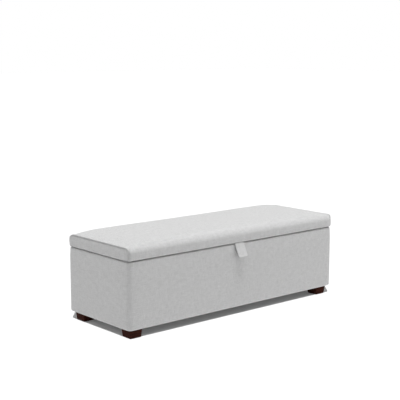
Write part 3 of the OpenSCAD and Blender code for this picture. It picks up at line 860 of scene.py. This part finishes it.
def pull_tab(cloth):
    """A strip of cloth folded double: two layers with soft edges, closed by the fold at its end."""
    path = tab_path()
    lengths = arc_lengths(path)
    normals = outward_normals(path)
    total = lengths[-1]
    edge_run = np.linspace(0.9, 1, 5)[1:]
    across = np.concatenate([np.linspace(-1, -0.9, 5)[:-1], np.linspace(-0.9, 0.9, 17), edge_run])
    section = []
    for s in across:
        section.append((s, 1))
    for s in across[::-1]:
        section.append((s, -1))
    vertices, places = [], []
    for (point, normal, length) in zip(path, normals, lengths):
        to_fold = total - length
        short = max(0.0, 1 - to_fold / (TAB_T / 2))
        closing = math.sqrt(max(0.0, 1 - short ** 2))
        half_t = TAB_T / 2 * (0.68 if length < 24 * MM else 1.0) * max(closing, 0.12)
        for s, face in section:
            edge = (1 - abs(s)) * TAB_W / 2
            soft = math.sqrt(min(1.0, edge / (1.4 * MM))) * 0.82 + 0.18
            stitched = 0.35 * MM * math.exp(-((edge - 5 * MM) / (1.3 * MM)) ** 2)
            offset = face * (half_t * soft - stitched)
            y, z = point + normal * offset
            vertices.append((s * TAB_W / 2, y, z))
            places.append((s * TAB_W / 2 + (0.2 if face > 0 else 0.4), length))
    ring = len(section)
    faces = []
    for i in range(len(path) - 1):
        for j in range(ring):
            k = (j + 1) % ring
            faces.append((i * ring + j, i * ring + k, (i + 1) * ring + k, (i + 1) * ring + j))
    faces.append(tuple(range(ring))[::-1])
    faces.append(tuple((len(path) - 1) * ring + j for j in range(ring)))
    obj = new_object("pull_tab_cloth", vertices, faces)
    set_cloth_map(obj, places)
    obj.data.materials.append(cloth)
    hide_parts("pull_tab", "tab_anchor")
    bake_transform(obj)
    return obj


# Linings --------------------------------------------------------------------------------


def sagging_sheet(name, low, high, z, sag, lower=True):
    """A stretched sheet between two corners of a rectangle, slack by sag in its middle."""
    nx = int((high.x - low.x) / (15 * MM))
    ny = int((high.y - low.y) / (15 * MM))
    vertices = []
    for i in range(nx + 1):
        for j in range(ny + 1):
            u, v = i / nx, j / ny
            drop = sag * float(bump(np.array(u), 4) * bump(np.array(v), 4))
            x = low.x + (high.x - low.x) * u
            y = low.y + (high.y - low.y) * v
            vertices.append((x, y, z - drop if lower else z + drop))
    return new_object(name, vertices, grid_faces(nx + 1, ny + 1, flip=lower))


def dust_sheet(cloth):
    """Black cloth stapled under the box."""
    low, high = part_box("dust_cover")
    obj = sagging_sheet("dust_sheet", low, high, high.z, 0.6 * MM)
    obj.data.materials.append(cloth)
    thicken(obj, LINING_T)
    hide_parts("dust_cover")
    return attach(obj, "box")


def lid_sheet(cloth):
    """Black lining under the lid's board, inside the hems of the cover."""
    low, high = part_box("lid_lining")
    obj = sagging_sheet("lid_lining_sheet", low, high, high.z, 0.4 * MM)
    obj.data.materials.append(cloth)
    thicken(obj, LINING_T)
    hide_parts("lid_lining")
    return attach(obj, "lid")


def box_lining(cloth):
    """Black lining of the storage space: one cloth folded up the four walls."""
    low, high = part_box("box_lining")
    middle = (low + high) / 2
    half_x, half_y = high.x - middle.x, high.y - middle.y
    corner = 6 * MM
    down = line((0.6 * MM, high.z), (0.6 * MM, low.z + corner), 22 * MM)
    turn = arc((corner, low.z + corner), corner - 0.6 * MM, 180, 270)
    floor = [(share * half_y, low.z + 0.6 * MM) for share in np.linspace(corner / half_y, 1, 9)]
    vertices = []
    for inset, z in down + turn + floor:
        ring = rectangle_ring(half_x - inset, max(half_y - inset, 0.2 * MM))
        slack = 0.8 * MM if inset < corner / 2 and z < high.z - 10 * MM else 0.0
        spots = np.column_stack([ring, np.full(len(ring), z)])
        inward = ring / np.linalg.norm(ring, axis=1)[:, None]
        ring = ring - inward * (slack * (1 + waves(spots, 0.25, 23)) / 2)[:, None]
        vertices += [(middle.x + x, middle.y + y, z) for x, y in ring]
    rows = len(down) + len(turn) + len(floor)
    obj = new_object("box_lining_sheet", vertices, grid_faces(rows, len(ring), flip=True))
    obj.data.materials.append(cloth)
    weld(obj, 0.05 * MM)
    thicken(obj, LINING_T)
    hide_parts("box_lining")
    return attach(obj, "box")


def rectangle_ring(half_x, half_y):
    """Closed rectangle of points with the same count on each side whatever its size."""
    along = np.linspace(-1, 1, 61)[:-1]
    across = np.linspace(-1, 1, 25)[:-1]
    ring = [(x * half_x, -half_y) for x in along]
    ring += [(half_x, y * half_y) for y in across]
    ring += [(-x * half_x, half_y) for x in along]
    ring += [(-half_x, -y * half_y) for y in across]
    return np.array(ring + ring[:1])


def weld(obj, distance):
    """Joins vertices closer than distance."""
    bm = bmesh.new()
    bm.from_mesh(obj.data)
    bmesh.ops.remove_doubles(bm, verts=bm.verts, dist=distance)
    bm.to_mesh(obj.data)
    bm.free()


# Feet -----------------------------------------------------------------------------------


def foot(node, wood):
    """A tapered block with eased edges in place of the plain one."""
    low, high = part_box(node)
    centre = (low + high) / 2
    top = (high.x - low.x) / 2
    bottom = FOOT_BOTTOM_HALF
    mesh = bpy.data.meshes.new(node + "_block")
    bm = bmesh.new()
    corners = []
    for z, half in ((low.z, bottom), (high.z, top)):
        for sx, sy in ((-1, -1), (1, -1), (1, 1), (-1, 1)):
            corners.append(bm.verts.new((centre.x + sx * half, centre.y + sy * half, z)))
    bm.faces.new(corners[3::-1])
    bm.faces.new(corners[4:])
    for i in range(4):
        j = (i + 1) % 4
        bm.faces.new((corners[i], corners[j], corners[4 + j], corners[4 + i]))
    bmesh.ops.bevel(bm, geom=bm.edges[:], offset=FOOT_EDGE, segments=3, profile=0.6, affect="EDGES")
    bm.to_mesh(mesh)
    bm.free()
    mesh.polygons.foreach_set("use_smooth", [True] * len(mesh.polygons))
    obj = bpy.data.objects.new(node + "_block", mesh)
    bpy.context.scene.collection.objects.link(obj)
    weighted = obj.modifiers.new("shading", "WEIGHTED_NORMAL")
    weighted.keep_sharp = True
    apply_modifiers(obj)
    obj.data.materials.append(wood)
    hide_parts(node)
    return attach(obj, "box")


# Carried-over CAD nodes -----------------------------------------------------------------


def dress_cad_nodes(slot_materials):
    """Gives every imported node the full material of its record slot."""
    for subpart in frame["record"]["subparts"]:
        obj = frame["nodes"][subpart["node"]]
        mat = slot_materials[subpart["material_slot"]]
        for index in range(max(1, len(obj.material_slots))):
            if obj.material_slots:
                obj.material_slots[index].material = mat
            else:
                obj.data.materials.append(mat)


# Stage, light and camera ----------------------------------------------------------------


def stage():
    size = 40.0
    floor = new_object("floor", [(-size, -size, 0), (size, -size, 0), (size, size, 0), (-size, size, 0)],
                       [(0, 1, 2, 3)], smooth=False)
    floor.data.materials.append(floor_paint("floor_paint"))
    return floor


def add_lamp(name, data, towards):
    """Places a lamp whose light comes from the direction named."""
    lamp = bpy.data.objects.new(name, data)
    lamp.rotation_euler = Vector(towards).to_track_quat("Z", "Y").to_euler()
    bpy.context.scene.collection.objects.link(lamp)
    return lamp


def sun(name, towards, strength, softness):
    """A distant light, softness degrees wide."""
    data = bpy.data.lights.new(name, "SUN")
    data.energy = strength
    data.angle = math.radians(softness)
    return add_lamp(name, data, towards)


def near_lamp(name, place, aim, power, size):
    """A soft square lamp close to the bench, so that its light falls off along it."""
    data = bpy.data.lights.new(name, "AREA")
    data.energy = power
    data.size = size
    lamp = add_lamp(name, data, Vector(place) - Vector(aim))
    lamp.location = place
    return lamp


def link_floor(lamp, floor, state):
    """Makes a lamp light only the floor (INCLUDE) or everything but the floor (EXCLUDE)."""
    chosen = bpy.data.collections.new(lamp.name + "_floor")
    chosen.objects.link(floor)
    chosen.collection_objects[0].light_linking.link_state = state
    lamp.light_linking.receiver_collection = chosen


def lighting(floor):
    """Even studio light: a white room, an overhead light, two side fills and a near lamp for the
    bench, and two lights that reach only the floor and keep it white."""
    world = bpy.data.worlds.new("studio")
    bpy.context.scene.world = world
    world.use_nodes = True
    tree = world.node_tree
    background = tree.nodes["Background"]
    seen = add(tree, "ShaderNodeLightPath").outputs["Is Camera Ray"]
    strength = add(tree, "ShaderNodeMapRange", {"Value": seen, "To Min": 0.24, "To Max": 1.0}).outputs[0]
    background.inputs["Color"].default_value = (1, 1, 1, 1)
    tree.links.new(strength, background.inputs["Strength"])
    link_floor(sun("overhead", (0.0, -0.02, 1.0), 3.6, 40), floor, "EXCLUDE")
    link_floor(sun("right_fill", (0.92, -0.45, 0.3), 0.5, 30), floor, "EXCLUDE")
    link_floor(sun("left_fill", (-0.6, 0.8, 0.3), 0.3, 30), floor, "EXCLUDE")
    right_lamp = near_lamp("right_lamp", (2.0, -2.3, 0.9), (0.5, -0.2, 0.25), 7.0, 0.6)
    link_floor(right_lamp, floor, "EXCLUDE")
    link_floor(sun("backdrop", (-0.43, -0.50, 0.76), 4.1, 1.5), floor, "INCLUDE")
    floor_fill = sun("floor_fill", (0, 0, 1), 0.32, 10)
    floor_fill.data.use_shadow = False
    link_floor(floor_fill, floor, "INCLUDE")


# Viewing direction and place of the camera, from the middle of the bench on the floor
CAMERA_TURN = math.radians(-40.7405)
CAMERA_DOWN = math.radians(8.9154)
CAMERA_PLACE = (-3.1681, -3.6252, 1.3034)
CAMERA_LENS = 86.97


def camera():
    data = bpy.data.cameras.new("camera")
    data.sensor_width = 36
    data.lens = CAMERA_LENS
    obj = bpy.data.objects.new("camera", data)
    obj.location = (CAMERA_PLACE[0], CAMERA_PLACE[1] + MIDDLE_Y, CAMERA_PLACE[2])
    obj.rotation_euler = (math.pi / 2 - CAMERA_DOWN, 0, CAMERA_TURN)
    bpy.context.scene.collection.objects.link(obj)
    bpy.context.scene.camera = obj


# Build ----------------------------------------------------------------------------------

bpy.context.scene.view_settings.view_transform = "Standard"

grey_weave = woven_cloth("grey_weave", grey(0.64), grey(0.35))
foam = soft_foam("foam")
black_cloth = thin_cloth("black_cloth", grey(0.012), grey(0.045))
walnut = stained_wood("walnut", (0.012, 0.003, 0.002), (0.055, 0.015, 0.009), "X")
dress_cad_nodes({
    "grey_weave": grey_weave,
    "walnut": walnut,
    "black_cloth": black_cloth,
    "plywood": plywood("birch_ply"),
    "foam": foam,
    "steel": metal("zinc_plate", (0.60, 0.61, 0.62), 0.34, brushed=0.5),
    "chrome": metal("chrome_rod", (0.74, 0.75, 0.77), 0.10, brushed=0.1),
    "black_paint": metal("black_coat", (0.03, 0.03, 0.03), 0.45, brushed=0.2, metallic=0.0),
    "black_rubber": matt_rubber("black_rubber"),
})

box_upholstery(grey_weave)
box_foam(foam)
lid_foam(foam)
lid_cover(grey_weave)
for side, word in ((-1, "left"), (1, "right")):
    lid_end(side, f"lid_end_cloth_{word}", grey_weave)
    lid_piping(side, f"lid_piping_cord_{word}", grey_weave)
pull_tab(grey_weave)
dust_sheet(black_cloth)
lid_sheet(black_cloth)
box_lining(black_cloth)
for corner in ("front_left", "front_right", "rear_left", "rear_right"):
    foot(f"foot_{corner}", walnut)

lighting(stage())
camera()
